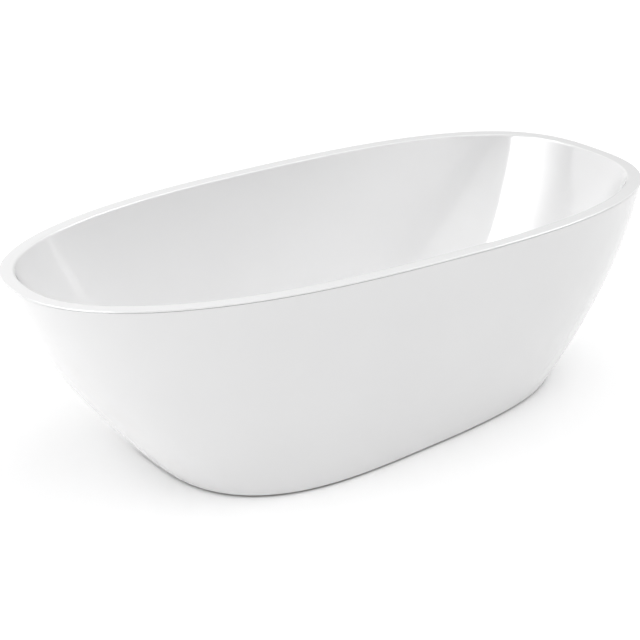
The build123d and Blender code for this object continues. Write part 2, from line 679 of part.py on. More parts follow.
def make_overflow_elbow():
    """Plastic elbow behind the wall: flange, cup, screw boss and the spout that points down."""
    flange_front = BEHIND_BASIN - REAR_SEAL
    flange_back = flange_front - 3
    cup_back = -SPOUT_DEPTH - SPOUT_RADIUS - 1.5
    cup_floor = cup_back + ELBOW_WALL
    elbow = turned((ELBOW_BORE, flange_front), (ELBOW_FLANGE_RADIUS, flange_front),
                   (ELBOW_FLANGE_RADIUS, flange_back), (ELBOW_RADIUS, flange_back),
                   (ELBOW_RADIUS, cup_back), (0, cup_back), (0, cup_floor),
                   (ELBOW_BORE, cup_floor))
    elbow += disc(ELBOW_BOSS, cup_back + 1, flange_front - 2)
    spout = Pos(0, 0, -SPOUT_DEPTH) * Rot(90, 0, 0) * Cylinder(
        SPOUT_RADIUS, SPOUT_END, align=(Align.CENTER, Align.CENTER, Align.MIN))
    channel = Pos(0, -10, -SPOUT_DEPTH) * Rot(90, 0, 0) * Cylinder(
        SPOUT_BORE, SPOUT_END, align=(Align.CENTER, Align.CENTER, Align.MIN))
    elbow += spout - disc(ELBOW_BORE + 1, cup_floor - 0.5, flange_front)
    elbow -= channel
    elbow -= disc(OVERFLOW_SCREW_RADIUS + FIT, cup_back + 1, flange_front)
    return wall_frame() * elbow


def hose_route():
    """Centre line of the hose: down behind the well, then level under the frame to the drain."""
    frame = wall_frame()
    start = frame.from_local_coords(Vector(0, -(SPOUT_END - HOSE_GRIP), -SPOUT_DEPTH))
    ahead = frame.from_local_coords(Vector(0, -SPOUT_END, -SPOUT_DEPTH))
    slope = (ahead.Y - start.Y) / (ahead.Z - start.Z)
    corner = Vector(0, start.Y + slope * (HOSE_HEIGHT - start.Z), HOSE_HEIGHT)
    end = Vector(0, -(BRANCH_END - HOSE_GRIP), HOSE_HEIGHT)
    return FilletPolyline(start, corner, end, radius=HOSE_BEND)


def make_hose():
    """Flexible hose from the overflow's spout to the drain's branch."""
    path = hose_route()
    start = Plane(origin=path @ 0, z_dir=path % 0)
    hose = sweep(start * (Circle(HOSE_RADIUS) - Circle(SPOUT_RADIUS + FIT)), path=path)
    section = math.pi * (HOSE_RADIUS ** 2 - (SPOUT_RADIUS + FIT) ** 2)
    print("hose length", round(path.length, 1), "bend radius", HOSE_BEND,
          "volume against section x length", round(hose.volume / (section * path.length), 4))
    return hose


def make_hose_clip(place, direction):
    """Steel band that grips the hose on a spout."""
    half = CLIP_WIDTH / 2
    band = ring(HOSE_RADIUS + CLIP_BAND, HOSE_RADIUS + FIT, -half, half)
    housing = block((HOSE_RADIUS + CLIP_BAND - 0.2, -half, -half),
                    (HOSE_RADIUS + CLIP_HOUSING, half, half))
    return Plane(origin=place, z_dir=direction, x_dir=(1, 0, 0)) * (band + housing)


# ---------------------------------------------------------------- write every node

def write_shells():
    well = well_solid(0, RIM_HEIGHT + 14)
    acrylic_back = well_solid(ACRYLIC, RIM_HEIGHT + 14)
    laminate_back = well_solid(ACRYLIC + LAMINATE, RIM_HEIGHT + 14)
    outside = skirt_solid(0)
    behind_acrylic = skirt_solid(SKIRT_ACRYLIC)
    room = skirt_solid(SKIRT_LINER)
    write("basin", make_basin(well, acrylic_back))
    write("basin_laminate", make_basin_laminate(acrylic_back, laminate_back))
    write("skirt", make_skirt(outside, behind_acrylic))
    liner_top = SKIRT_TOP - LAMINATE_SETBACK
    write("skirt_laminate", (behind_acrylic & slab(SKIRT_BOTTOM + 4, liner_top)) - room)
    write("rim_joint_bead", make_seam_bead())
    return room


def write_frame(room):
    write("base_board", make_board())
    write("frame_rail_front", make_rail(-RAIL_Y))
    write("frame_rail_back", make_rail(RAIL_Y))
    write("frame_crossbars", [make_crossbar(x) for x in CROSSBAR_XS])
    write("board_screws", [make_screw(x, y, RAIL_BOTTOM, BOARD_SCREW_TIP) for x, y in board_screw_places()])
    write("frame_bolts", [make_frame_bolt(x, y) for x, y in crossing_places()])
    write("rail_nuts", [make_rail_nut(x, y) for x, y in crossing_places()])
    ends = [(x, side) for x in CROSSBAR_XS for side in (-1, 1)]
    write("skirt_blocks", [make_skirt_block(x, side, room) for x, side in ends])
    write("block_screws", [
        make_screw(x, side * (crossbar_half_length(x) - BLOCK_TONGUE / 2), CROSSBAR_BOTTOM,
                   BLOCK_SCREW_TIP)
        for x, side in ends
    ])


def write_feet():
    lock_bottom = CROSSBAR_BOTTOM - LOCK_NUT_HEIGHT
    weld_bottom = CROSSBAR_BOTTOM + TUBE_WALL
    places = LEVEL_FEET.values()
    write("foot_lock_nuts", [make_foot_nut(x, y, lock_bottom, LOCK_NUT_HEIGHT) for x, y in places])
    write("foot_weld_nuts", [make_foot_nut(x, y, weld_bottom, WELD_NUT_HEIGHT) for x, y in places])
    for name, (x, y) in LEVEL_FEET.items():
        write(f"foot_sole_{name}", make_sole(x, y))
        write(f"foot_pad_{name}", make_pad(x, y))
        write(f"foot_spindle_{name}", make_spindle(x, y))


def write_drain():
    write("drain_flange", make_drain_flange())
    write("drain_upper_seal", ring(UPPER_SEAL_RADIUS, DRAIN_SEAL_BORE,
                                   RECESS_FLOOR, RECESS_FLOOR + DRAIN_SEAL))
    write("drain_lower_seal", ring(LOWER_SEAL_RADIUS, DRAIN_SEAL_BORE,
                                   CLAMP_TOP, RECESS_LAMINATE_BOTTOM))
    write("drain_body", make_drain_body())
    write("drain_tail_nut", make_tail_nut())
    write("drain_tail_washer", ring(TAIL_THREAD_RADIUS - 0.2, TAIL_RADIUS + FIT,
                                    TAIL_THREAD_BOTTOM - TAIL_WASHER, TAIL_THREAD_BOTTOM))
    write("drain_tailpiece", make_tailpiece())
    write("stopper_cartridge", make_cartridge())
    write("stopper_spring", make_spring())
    write("stopper_stem", make_stem())
    write("stopper_cap", make_stopper_cap())
    write("stopper_seal", ring(STOPPER_SEAL_RADIUS, STOPPER_SEAL_BORE,
                               WELL_FLOOR + WALL_CLEARANCE, WELL_FLOOR + STOPPER_GAP))


def write_overflow():
    wall = wall_frame()
    gasket_radius = COVER_RADIUS - 0.5
    write("overflow_cover", make_overflow_cover())
    write("overflow_gasket", wall * ring(gasket_radius, gasket_radius - COVER_GASKET_WIDTH,
                                         COVER_GASKET_FRONT, COVER_SEAT))
    write("overflow_screw", make_overflow_screw())
    write("overflow_rear_seal", wall * ring(REAR_SEAL_RADIUS, REAR_SEAL_BORE,
                                            BEHIND_BASIN - REAR_SEAL, BEHIND_BASIN))
    write("overflow_elbow", make_overflow_elbow())
    write("overflow_hose", make_hose())
    route = hose_route()
    clip_inset = CLIP_INSET / route.length
    write("hose_clips", [
        make_hose_clip(route @ clip_inset, route % clip_inset),
        make_hose_clip(route @ (1 - clip_inset), route % (1 - clip_inset)),
    ])


os.makedirs("parts", exist_ok=True)
CROSSBAR_REACH = {x: skirt_reach(x, CROSSBAR_BOTTOM) for x in CROSSBAR_XS}
inside_skirt = write_shells()
write_frame(inside_skirt)
write_feet()
write_drain()
write_overflow()
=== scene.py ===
import json
import math

import bmesh
import bpy
import numpy as np
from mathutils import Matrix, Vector


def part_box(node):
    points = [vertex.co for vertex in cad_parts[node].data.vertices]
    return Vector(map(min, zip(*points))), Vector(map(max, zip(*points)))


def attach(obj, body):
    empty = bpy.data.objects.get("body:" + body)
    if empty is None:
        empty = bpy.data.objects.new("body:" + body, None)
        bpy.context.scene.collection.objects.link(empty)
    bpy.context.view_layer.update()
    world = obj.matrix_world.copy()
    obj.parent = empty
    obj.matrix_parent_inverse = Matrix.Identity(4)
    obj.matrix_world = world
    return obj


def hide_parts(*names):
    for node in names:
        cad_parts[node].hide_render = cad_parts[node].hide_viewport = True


# Looks for the freestanding bathtub: metres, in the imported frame.
# The basin and the skirt are rebuilt here as smooth closed shells on the same curves as the CAD
# solids. Every other piece is the CAD node with a better material.

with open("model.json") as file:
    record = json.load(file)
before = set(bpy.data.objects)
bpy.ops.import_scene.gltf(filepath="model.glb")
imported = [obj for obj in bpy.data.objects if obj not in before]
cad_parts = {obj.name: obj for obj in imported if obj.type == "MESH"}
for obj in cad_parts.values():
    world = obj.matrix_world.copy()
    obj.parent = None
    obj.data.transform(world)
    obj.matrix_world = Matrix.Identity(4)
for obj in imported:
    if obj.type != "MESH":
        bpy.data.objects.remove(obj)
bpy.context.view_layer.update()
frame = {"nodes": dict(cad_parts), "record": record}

# ---------------------------------------------------------------- shape: metres

# Outer limits come from the frame. The plans and walls repeat the CAD model's driving dimensions.

skirt_low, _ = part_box("skirt")
basin_low, basin_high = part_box("basin")
bead_low, bead_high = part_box("rim_joint_bead")
_, flange_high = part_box("drain_flange")

# The plan of each level is a superellipse. Its end bias squares the corners towards +X, and its
# egg widens it towards +X. A bulge bows the wall outwards between the foot and the rim.
RIM_HEIGHT = basin_high.z
RIM_HALF_LENGTH = -basin_low.x
RIM_EXPONENT = 2.54
RIM_END_BIAS = 0.195
RIM_EGG = 0.055
EGG_WIDENING = 1.005
RIM_HALF_WIDTH = basin_high.y / EGG_WIDENING
RIM_LEDGE = 0.0325
RIM_UNDERSIDE = bead_high.z
OUTER_ROUND = 0.0025
INNER_ROUND = 0.004
UNDER_ROUND = 0.0004
RIM_REACH = 0.026

FOOT_HALF_LENGTH = 0.558
FOOT_HALF_WIDTH = 0.3185
FOOT_EXPONENT = 3.06
FOOT_END_BIAS = 0.255
FOOT_EGG = -0.168
FOOT_SHIFT = 0.0295
END_BULGE = 0.525
SIDE_BULGE = 0.96
SKIRT_BOTTOM = skirt_low.z
SKIRT_TOP = bead_low.z
SKIRT_THICKNESS = 0.004
SKIRT_RETURN = 0.024
SKIRT_TOP_ROUND = 0.0008
SKIRT_FOOT_ROUND = 0.003

WELL_FLOOR = flange_high.z
WELL_HALF_LENGTH = 0.545
WELL_HALF_WIDTH = 0.235
WELL_EXPONENT = 2.60
WELL_END_BULGE = 0.35
WELL_SIDE_BULGE = 0.45
FLOOR_BLEND_RISE = 0.058
ACRYLIC = 0.005
RECESS_RADIUS = 0.042
RECESS_DEPTH = 0.004
RECESS_SLOPE = 0.0008
RECESS_FLAT_RADIUS = 0.038
RECESS_FOOT_ROUND = 0.002
RECESS_EDGE_ROUND = 0.0016
RECESS_STRAIGHT = (0.4, 0.6)  # shares of the step's height between its two rounds
FLOOR_START = 0.004
DRAIN_HOLE_RADIUS = 0.026

# How finely the shells are drawn: points round each ring, and rings along each stretch.
AROUND = 448
RECESS_RINGS = 4
FLOOR_RINGS = 16
WELL_WALL_RINGS = 46
RIM_TOP_RINGS = 9
SKIRT_RETURN_RINGS = 5
SKIRT_WALL_RINGS = 64
BACK_RINGS = 24
FLOOR_BLEND_STEPS = 18
OUTER_ROUND_STEPS = 8
INNER_ROUND_STEPS = 7
SKIRT_FOOT_STEPS = 5
FINE_ROUND_STEPS = 3
BROAD_FACE_WEIGHT = 80


def mix(low, high, fraction):
    return low + (high - low) * fraction


def bulged(fraction, bulge):
    """Share of the way up, bowed outwards most at half height."""
    return fraction * (1 + bulge * (1 - fraction))


def plan(half_length, half_width, exponent, end_bias, egg, shift, z):
    """One ring of points: a superellipse whose corners and width change towards +X."""
    angle = np.arange(AROUND) * 2 * math.pi / AROUND
    c, s = np.cos(angle), np.sin(angle)
    power = 2 / (exponent + end_bias * c)
    x = half_length * np.sign(c) * np.abs(c) ** power
    y = half_width * np.sign(s) * np.abs(s) ** power * (1 + egg * x / half_length)
    return np.stack([x + shift, y, np.full(AROUND, float(z))], -1)


def skirt_ring(z, inset=0.0, height=None):
    """Ring of the outer wall at height z, moved inwards; height lifts it without changing its plan."""
    rise = z / RIM_HEIGHT
    ring = plan(
        mix(FOOT_HALF_LENGTH, RIM_HALF_LENGTH, bulged(rise, END_BULGE)) - inset,
        mix(FOOT_HALF_WIDTH, RIM_HALF_WIDTH, bulged(rise, SIDE_BULGE)) - inset,
        mix(FOOT_EXPONENT, RIM_EXPONENT, rise),
        mix(FOOT_END_BIAS, RIM_END_BIAS, rise),
        mix(FOOT_EGG, RIM_EGG, rise),
        FOOT_SHIFT * (1 - rise),
        z,
    )
    if height is not None:
        ring[:, 2] = height
    return ring


def rim_ring(inset, height):
    return skirt_ring(RIM_HEIGHT, inset, height)


def well_ring(z, outset=0.0):
    """Ring of the bathing well's wall at height z, moved outwards."""
    rise = (z - WELL_FLOOR) / (RIM_HEIGHT - WELL_FLOOR)
    return plan(
        mix(WELL_HALF_LENGTH, RIM_HALF_LENGTH - RIM_LEDGE, bulged(rise, WELL_END_BULGE)) + outset,
        mix(WELL_HALF_WIDTH, RIM_HALF_WIDTH - RIM_LEDGE, bulged(rise, WELL_SIDE_BULGE)) + outset,
        mix(WELL_EXPONENT, RIM_EXPONENT, rise),
        RIM_END_BIAS * rise,
        RIM_EGG * rise,
        0.0,
        z,
    )


def corner_arc(before, corner, after, steps):
    """Rings that round the corner between two rings, tangent to both, as a conic arc."""
    one = before - corner
    two = after - corner
    cosine = (one * two).sum(1) / (np.linalg.norm(one, axis=1) * np.linalg.norm(two, axis=1))
    turn = math.pi - np.arccos(np.clip(cosine, -1, 1))
    weight = np.cos(turn / 2)[:, None]
    rings = []
    for step in range(steps + 1):
        u = step / steps
        share = (1 - u) ** 2, 2 * u * (1 - u) * weight, u ** 2
        rings.append((share[0] * before + share[1] * corner + share[2] * after) / sum(share))
    return rings


def circle_ring(guide, radius, z):
    """Circle about the drain, its points in the directions of the guide ring."""
    ring = guide.copy()
    ring[:, :2] *= radius / np.linalg.norm(guide[:, :2], axis=1)[:, None]
    ring[:, 2] = z
    return ring


def floor_to_wall(floor_z, outset, rise):
    """Rings from the flat floor, round its edge and on to the wall at height floor_z + rise."""
    corner = well_ring(floor_z, outset)
    after = well_ring(floor_z + rise, outset)
    reach = np.linalg.norm(after - corner, axis=1)[:, None]
    inward = corner - after
    inward[:, 2] = 0
    inward /= np.linalg.norm(inward, axis=1)[:, None]
    before = corner + inward * reach
    return corner_arc(before, corner, after, FLOOR_BLEND_STEPS)


def drain_recess_rings(guide, recess_z):
    """From the drain hole over the recess's flat, up its step and on to the well's floor."""
    rings = []
    for radius in np.linspace(DRAIN_HOLE_RADIUS, RECESS_FLAT_RADIUS, RECESS_RINGS):
        rings.append(circle_ring(guide, radius, recess_z))
    step_low = circle_ring(guide, RECESS_RADIUS - RECESS_SLOPE, recess_z)
    step_high = circle_ring(guide, RECESS_RADIUS, WELL_FLOOR)
    before = circle_ring(guide, RECESS_RADIUS - RECESS_FOOT_ROUND, recess_z)
    after = circle_ring(guide, RECESS_RADIUS + RECESS_EDGE_ROUND, WELL_FLOOR)
    straight_start, straight_stop = (mix(step_low, step_high, share) for share in RECESS_STRAIGHT)
    rings += corner_arc(before, step_low, straight_start, FINE_ROUND_STEPS)
    rings += corner_arc(straight_stop, step_high, after, FINE_ROUND_STEPS)
    return rings


def well_rings():
    """From the recess over the well's floor, up its wall and round on to the rim's top."""
    rings = []
    edge = floor_to_wall(WELL_FLOOR, 0.0, FLOOR_BLEND_RISE)
    inner = circle_ring(edge[0], RECESS_RADIUS + FLOOR_START, WELL_FLOOR)
    for share in np.linspace(0, 1, FLOOR_RINGS)[:-1]:
        rings.append(mix(inner, edge[0], share))
    rings += edge
    wall_top = RIM_HEIGHT - INNER_ROUND
    for z in np.linspace(WELL_FLOOR + FLOOR_BLEND_RISE, wall_top, WELL_WALL_RINGS)[1:-1]:
        rings.append(well_ring(z))
    on_rim = rim_ring(RIM_LEDGE - INNER_ROUND, RIM_HEIGHT)
    rings += corner_arc(well_ring(wall_top), well_ring(RIM_HEIGHT), on_rim, INNER_ROUND_STEPS)
    return rings


def rim_rings():
    """Over the rim's top, round its outer edge and back under its lip."""
    rings = []
    for inset in np.linspace(RIM_LEDGE - INNER_ROUND, OUTER_ROUND, RIM_TOP_RINGS)[1:-1]:
        rings.append(rim_ring(inset, RIM_HEIGHT))
    rings += corner_arc(rim_ring(OUTER_ROUND, RIM_HEIGHT), rim_ring(0, RIM_HEIGHT),
                        rim_ring(0, RIM_HEIGHT - OUTER_ROUND), OUTER_ROUND_STEPS)
    rings += corner_arc(rim_ring(0, RIM_UNDERSIDE + UNDER_ROUND), rim_ring(0, RIM_UNDERSIDE),
                        rim_ring(UNDER_ROUND, RIM_UNDERSIDE), FINE_ROUND_STEPS)
    rings.append(rim_ring(RIM_REACH / 2, RIM_UNDERSIDE))
    rings.append(rim_ring(RIM_REACH, RIM_UNDERSIDE))
    return rings


def back_rings(guide, recess_z):
    """Down the back of the well's wall and under its floor to the drain hole."""
    heights = np.linspace(WELL_FLOOR + FLOOR_BLEND_RISE, RIM_UNDERSIDE, BACK_RINGS)
    rings = [well_ring(z, ACRYLIC) for z in heights[::-1]]
    rings += floor_to_wall(WELL_FLOOR - ACRYLIC, ACRYLIC, FLOOR_BLEND_RISE + ACRYLIC)[-2::-1]
    boss = RECESS_RADIUS + ACRYLIC
    rings.append(circle_ring(guide, boss, WELL_FLOOR - ACRYLIC))
    rings.append(circle_ring(guide, boss, recess_z - ACRYLIC))
    rings.append(circle_ring(guide, DRAIN_HOLE_RADIUS, recess_z - ACRYLIC))
    return rings


def basin_rings():
    """Closed profile of the basin."""
    guide = well_ring(WELL_FLOOR)
    recess_z = WELL_FLOOR - RECESS_DEPTH
    return drain_recess_rings(guide, recess_z) + well_rings() + rim_rings() + back_rings(guide, recess_z)


def skirt_rings():
    """Closed profile of the skirt: its return, down the outside, round its foot, up the inside."""
    rings = []
    return_bottom = SKIRT_TOP - SKIRT_THICKNESS
    for inset in np.linspace(SKIRT_RETURN, SKIRT_TOP_ROUND, SKIRT_RETURN_RINGS)[:-1]:
        rings.append(skirt_ring(SKIRT_TOP, inset))
    rings += corner_arc(skirt_ring(SKIRT_TOP, SKIRT_TOP_ROUND), skirt_ring(SKIRT_TOP),
                        skirt_ring(SKIRT_TOP - SKIRT_TOP_ROUND), FINE_ROUND_STEPS)
    foot = SKIRT_BOTTOM + SKIRT_FOOT_ROUND
    for z in np.linspace(SKIRT_TOP - SKIRT_TOP_ROUND, foot, SKIRT_WALL_RINGS)[1:-1]:
        rings.append(skirt_ring(z))
    rings += corner_arc(skirt_ring(foot), skirt_ring(SKIRT_BOTTOM),
                        skirt_ring(SKIRT_BOTTOM, SKIRT_FOOT_ROUND), SKIRT_FOOT_STEPS)
    rings.append(skirt_ring(SKIRT_BOTTOM, SKIRT_THICKNESS))
    for z in np.linspace(SKIRT_BOTTOM, return_bottom, BACK_RINGS)[1:]:
        rings.append(skirt_ring(z, SKIRT_THICKNESS))
    rings.append(skirt_ring(SKIRT_TOP, SKIRT_RETURN, return_bottom))
    return rings


def shell_from_rings(name, rings):
    """Closed mesh from rings that follow each other round a closed profile."""
    points = np.concatenate(rings)
    count = len(rings)
    faces = []
    for ring in range(count):
        here = ring * AROUND
        there = ((ring + 1) % count) * AROUND
        for k in range(AROUND):
            n = (k + 1) % AROUND
            faces.append((here + k, here + n, there + n, there + k))
    mesh = bpy.data.meshes.new(name)
    mesh.from_pydata(points.tolist(), [], faces)
    mesh.update()
    mesh.shade_smooth()
    piece = bpy.data.objects.new(name, mesh)
    bpy.context.scene.collection.objects.link(piece)
    return piece


def face_outwards(piece):
    """Turns every face outwards, judged by the mesh's signed volume."""
    work = bmesh.new()
    work.from_mesh(piece.data)
    if work.calc_volume(signed=True) < 0:
        bmesh.ops.reverse_faces(work, faces=work.faces)
    work.to_mesh(piece.data)
    work.free()


def keep_broad_faces_true(piece):
    """Normals follow the broad faces, so that the fine rounds don't bend the reflections."""
    weights = piece.modifiers.new("broad_faces", "WEIGHTED_NORMAL")
    weights.keep_sharp = True
    weights.weight = BROAD_FACE_WEIGHT


# ---------------------------------------------------------------- material helpers

ACRYLIC_IOR = 1.49

# The middle of a noise's values, which carries nearly all of its variation.
NOISE_LOW = 0.3
NOISE_HIGH = 0.7


def new_material(name):
    material = bpy.data.materials.new(name)
    material.use_nodes = True
    tree = material.node_tree
    shader = tree.nodes["Principled BSDF"]
    return material, tree, shader


def noise(tree, scale, detail=3.0, roughness=0.5, stretch=None):
    """Procedural noise in object space, in metres."""
    place = tree.nodes.new("ShaderNodeTexCoord")
    texture = tree.nodes.new("ShaderNodeTexNoise")
    texture.inputs["Scale"].default_value = scale
    texture.inputs["Detail"].default_value = detail
    texture.inputs["Roughness"].default_value = roughness
    if stretch is None:
        tree.links.new(place.outputs["Object"], texture.inputs["Vector"])
    else:
        mapping = tree.nodes.new("ShaderNodeMapping")
        mapping.inputs["Scale"].default_value = stretch
        tree.links.new(place.outputs["Object"], mapping.inputs["Vector"])
        tree.links.new(mapping.outputs["Vector"], texture.inputs["Vector"])
    return texture


def vary_number(tree, source, low, high, socket):
    span = tree.nodes.new("ShaderNodeMapRange")
    span.inputs["From Min"].default_value = NOISE_LOW
    span.inputs["From Max"].default_value = NOISE_HIGH
    span.inputs["To Min"].default_value = low
    span.inputs["To Max"].default_value = high
    tree.links.new(source.outputs["Fac"], span.inputs["Value"])
    tree.links.new(span.outputs["Result"], socket)


def vary_colour(tree, source, dark, light, socket):
    ramp = tree.nodes.new("ShaderNodeValToRGB")
    ramp.color_ramp.elements[0].position = NOISE_LOW
    ramp.color_ramp.elements[1].position = NOISE_HIGH
    ramp.color_ramp.elements[0].color = (*dark, 1)
    ramp.color_ramp.elements[1].color = (*light, 1)
    tree.links.new(source.outputs["Fac"], ramp.inputs["Fac"])
    tree.links.new(ramp.outputs["Color"], socket)


def bump(tree, shader, source, strength, distance):
    node = tree.nodes.new("ShaderNodeBump")
    node.inputs["Strength"].default_value = strength
    node.inputs["Distance"].default_value = distance
    tree.links.new(source.outputs["Fac"], node.inputs["Height"])
    tree.links.new(node.outputs["Normal"], shader.inputs["Normal"])


def acrylic_material():
    """Glossy cast acrylic: near-white, with a faint unevenness in tone and gloss."""
    material, tree, shader = new_material("white_acrylic_gloss")
    vary_colour(tree, noise(tree, 3.0, 2.0), (0.757, 0.756, 0.759), (0.775, 0.775, 0.777),
                shader.inputs["Base Color"])
    vary_number(tree, noise(tree, 9.0, 4.0), 0.10, 0.17, shader.inputs["Roughness"])
    bump(tree, shader, noise(tree, 5.0, 1.0), 0.02, 0.002)
    shader.inputs["IOR"].default_value = ACRYLIC_IOR
    shader.inputs["Coat Weight"].default_value = 0.6
    shader.inputs["Coat Roughness"].default_value = 0.03
    shader.inputs["Coat IOR"].default_value = ACRYLIC_IOR
    return material


def laminate_material():
    """Chopped glass fibre in resin: straw-coloured, strand-textured, half dull."""
    material, tree, shader = new_material("glass_fibre_back")
    strands = noise(tree, 55.0, 6.0, 0.7, (1.0, 1.0, 3.5))
    vary_colour(tree, strands, (0.55, 0.52, 0.40), (0.80, 0.78, 0.66), shader.inputs["Base Color"])
    vary_number(tree, strands, 0.35, 0.7, shader.inputs["Roughness"])
    bump(tree, shader, strands, 0.5, 0.0015)
    return material


def filler_and_shade_material():
    """Joint filler in the fine groove under the rim, coloured near-black so that it also paints the
    shade under the rim's lip.
    """
    material, tree, shader = new_material("joint_filler_painted_shade")
    grain = noise(tree, 120.0)
    # Near-black grey: the filler's colour also serves as painted shade in the groove under the lip.
    vary_colour(tree, grain, (0.16, 0.16, 0.16), (0.22, 0.22, 0.22), shader.inputs["Base Color"])
    vary_number(tree, grain, 0.45, 0.6, shader.inputs["Roughness"])
    return material


def board_material():
    """Particle board: flecks of pale and dark chips."""
    material, tree, shader = new_material("particle_board")
    chips = noise(tree, 180.0, 8.0, 0.75)
    vary_colour(tree, chips, (0.36, 0.24, 0.13), (0.66, 0.50, 0.31), shader.inputs["Base Color"])
    vary_number(tree, chips, 0.7, 0.9, shader.inputs["Roughness"])
    bump(tree, shader, chips, 0.3, 0.0006)
    return material


def softwood_material():
    """Sawn softwood with its grain along the crossbars."""
    material, tree, shader = new_material("sawn_softwood")
    grain = noise(tree, 30.0, 6.0, 0.6, (6.0, 0.7, 6.0))
    vary_colour(tree, grain, (0.50, 0.33, 0.17), (0.76, 0.58, 0.36), shader.inputs["Base Color"])
    vary_number(tree, grain, 0.6, 0.8, shader.inputs["Roughness"])
    bump(tree, shader, grain, 0.25, 0.0005)
    return material


def powder_coat_material():
    """Grey powder coat with a fine orange peel."""
    material, tree, shader = new_material("grey_powder_coat")
    peel = noise(tree, 400.0, 2.0)
    vary_colour(tree, noise(tree, 12.0), (0.085, 0.088, 0.095), (0.11, 0.113, 0.12),
                shader.inputs["Base Color"])
    vary_number(tree, peel, 0.38, 0.5, shader.inputs["Roughness"])
    bump(tree, shader, peel, 0.15, 0.0003)
    return material


def zinc_material():
    """Zinc plating with its blotchy crystal sheen."""
    material, tree, shader = new_material("zinc_plating")
    blotch = noise(tree, 90.0, 5.0)
    vary_colour(tree, blotch, (0.50, 0.51, 0.53), (0.72, 0.73, 0.74), shader.inputs["Base Color"])
    vary_number(tree, blotch, 0.25, 0.45, shader.inputs["Roughness"])
    shader.inputs["Metallic"].default_value = 1.0
    return material


def stainless_material():
    """Brushed stainless band."""
    material, tree, shader = new_material("brushed_stainless")
    lines = noise(tree, 60.0, 4.0, 0.6, (1.0, 1.0, 25.0))
    vary_colour(tree, lines, (0.58, 0.58, 0.59), (0.74, 0.74, 0.75), shader.inputs["Base Color"])
    vary_number(tree, lines, 0.2, 0.38, shader.inputs["Roughness"])
    shader.inputs["Metallic"].default_value = 1.0
    return material


def chrome_material():
    """Polished chrome with faint wiping marks and water spots."""
    material, tree, shader = new_material("polished_chrome")
    smears = noise(tree, 35.0, 6.0, 0.65)
    vary_colour(tree, smears, (0.80, 0.81, 0.83), (0.88, 0.89, 0.90), shader.inputs["Base Color"])
    vary_number(tree, smears, 0.03, 0.12, shader.inputs["Roughness"])
    shader.inputs["Metallic"].default_value = 1.0
    return material


def brass_material():
    """Turned brass, slightly dulled by water."""
    material, tree, shader = new_material("turned_brass")
    tarnish = noise(tree, 70.0, 5.0)
    vary_colour(tree, tarnish, (0.52, 0.36, 0.13), (0.80, 0.62, 0.30), shader.inputs["Base Color"])
    vary_number(tree, tarnish, 0.2, 0.4, shader.inputs["Roughness"])
    shader.inputs["Metallic"].default_value = 1.0
    return material


def spring_material():
    """Stainless spring wire."""
    material, tree, shader = new_material("spring_wire")
    drawn = noise(tree, 200.0)
    vary_colour(tree, drawn, (0.45, 0.46, 0.48), (0.62, 0.63, 0.65), shader.inputs["Base Color"])
    vary_number(tree, drawn, 0.25, 0.35, shader.inputs["Roughness"])
    shader.inputs["Metallic"].default_value = 1.0
    return material


def rubber_material(name, tone):
    """Black rubber with a dusty bloom."""
    material, tree, shader = new_material(name)
    bloom = noise(tree, 80.0, 5.0)
    vary_colour(tree, bloom, (tone * 0.7,) * 3, (tone * 1.6,) * 3, shader.inputs["Base Color"])
    vary_number(tree, bloom, 0.6, 0.85, shader.inputs["Roughness"])
    bump(tree, shader, bloom, 0.15, 0.0003)
    return material


def moulded_material(name, dark, light, low, high):
    """Moulded plastic with a fine spark-eroded texture."""
    material, tree, shader = new_material(name)
    texture = noise(tree, 600.0, 3.0)
    vary_colour(tree, noise(tree, 15.0), dark, light, shader.inputs["Base Color"])
    vary_number(tree, texture, low, high, shader.inputs["Roughness"])
    bump(tree, shader, texture, 0.12, 0.0002)
    return material


def materials_by_slot():
    return {
        "white_acrylic": acrylic_material(),
        "glass_fibre_laminate": laminate_material(),
        "seam_filler": filler_and_shade_material(),
        "base_board": board_material(),
        "softwood_blocks": softwood_material(),
        "frame_steel": powder_coat_material(),
        "zinc_fasteners": zinc_material(),
        "stainless_clips": stainless_material(),
        "chrome_fittings": chrome_material(),
        "brass": brass_material(),
        "spring_steel": spring_material(),
        "rubber_seals": rubber_material("seal_rubber", 0.03),
        "sole_rubber": rubber_material("sole_rubber_black", 0.045),
        "foot_plastic": moulded_material("black_nylon", (0.018,) * 3, (0.028,) * 3, 0.4, 0.55),
        "waste_plastic": moulded_material("white_polypropylene", (0.70, 0.70, 0.69),
                                          (0.78, 0.78, 0.77), 0.32, 0.45),
        "hose_plastic": moulded_material("grey_hose", (0.55, 0.56, 0.57), (0.64, 0.65, 0.66), 0.3, 0.45),
    }


# ---------------------------------------------------------------- pieces

def paint_cad_nodes(materials):
    """Gives every CAD node the material of its slot."""
    for row in frame["record"]["subparts"]:
        mesh = frame["nodes"][row["node"]].data
        mesh.materials.clear()
        mesh.materials.append(materials[row["material_slot"]])


def make_shells(materials):
    """The two acrylic shells, in place of the CAD's basin and skirt."""
    for name, node, rings in (
        ("basin_shell", "basin", basin_rings()),
        ("skirt_shell", "skirt", skirt_rings()),
    ):
        piece = shell_from_rings(name, rings)
        face_outwards(piece)
        keep_broad_faces_true(piece)
        piece.data.materials.append(materials["white_acrylic"])
        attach(piece, "tub")
        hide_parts(node)


# ---------------------------------------------------------------- floor, light and camera

CAMERA_AZIMUTH = math.radians(-35.38)
CAMERA_ELEVATION = math.radians(23.50)
CAMERA_DISTANCE = 4.046
CAMERA_TARGET = Vector((-0.0626, -0.0163, 0.2537))
LENS = 93.87
SENSOR = 36.0

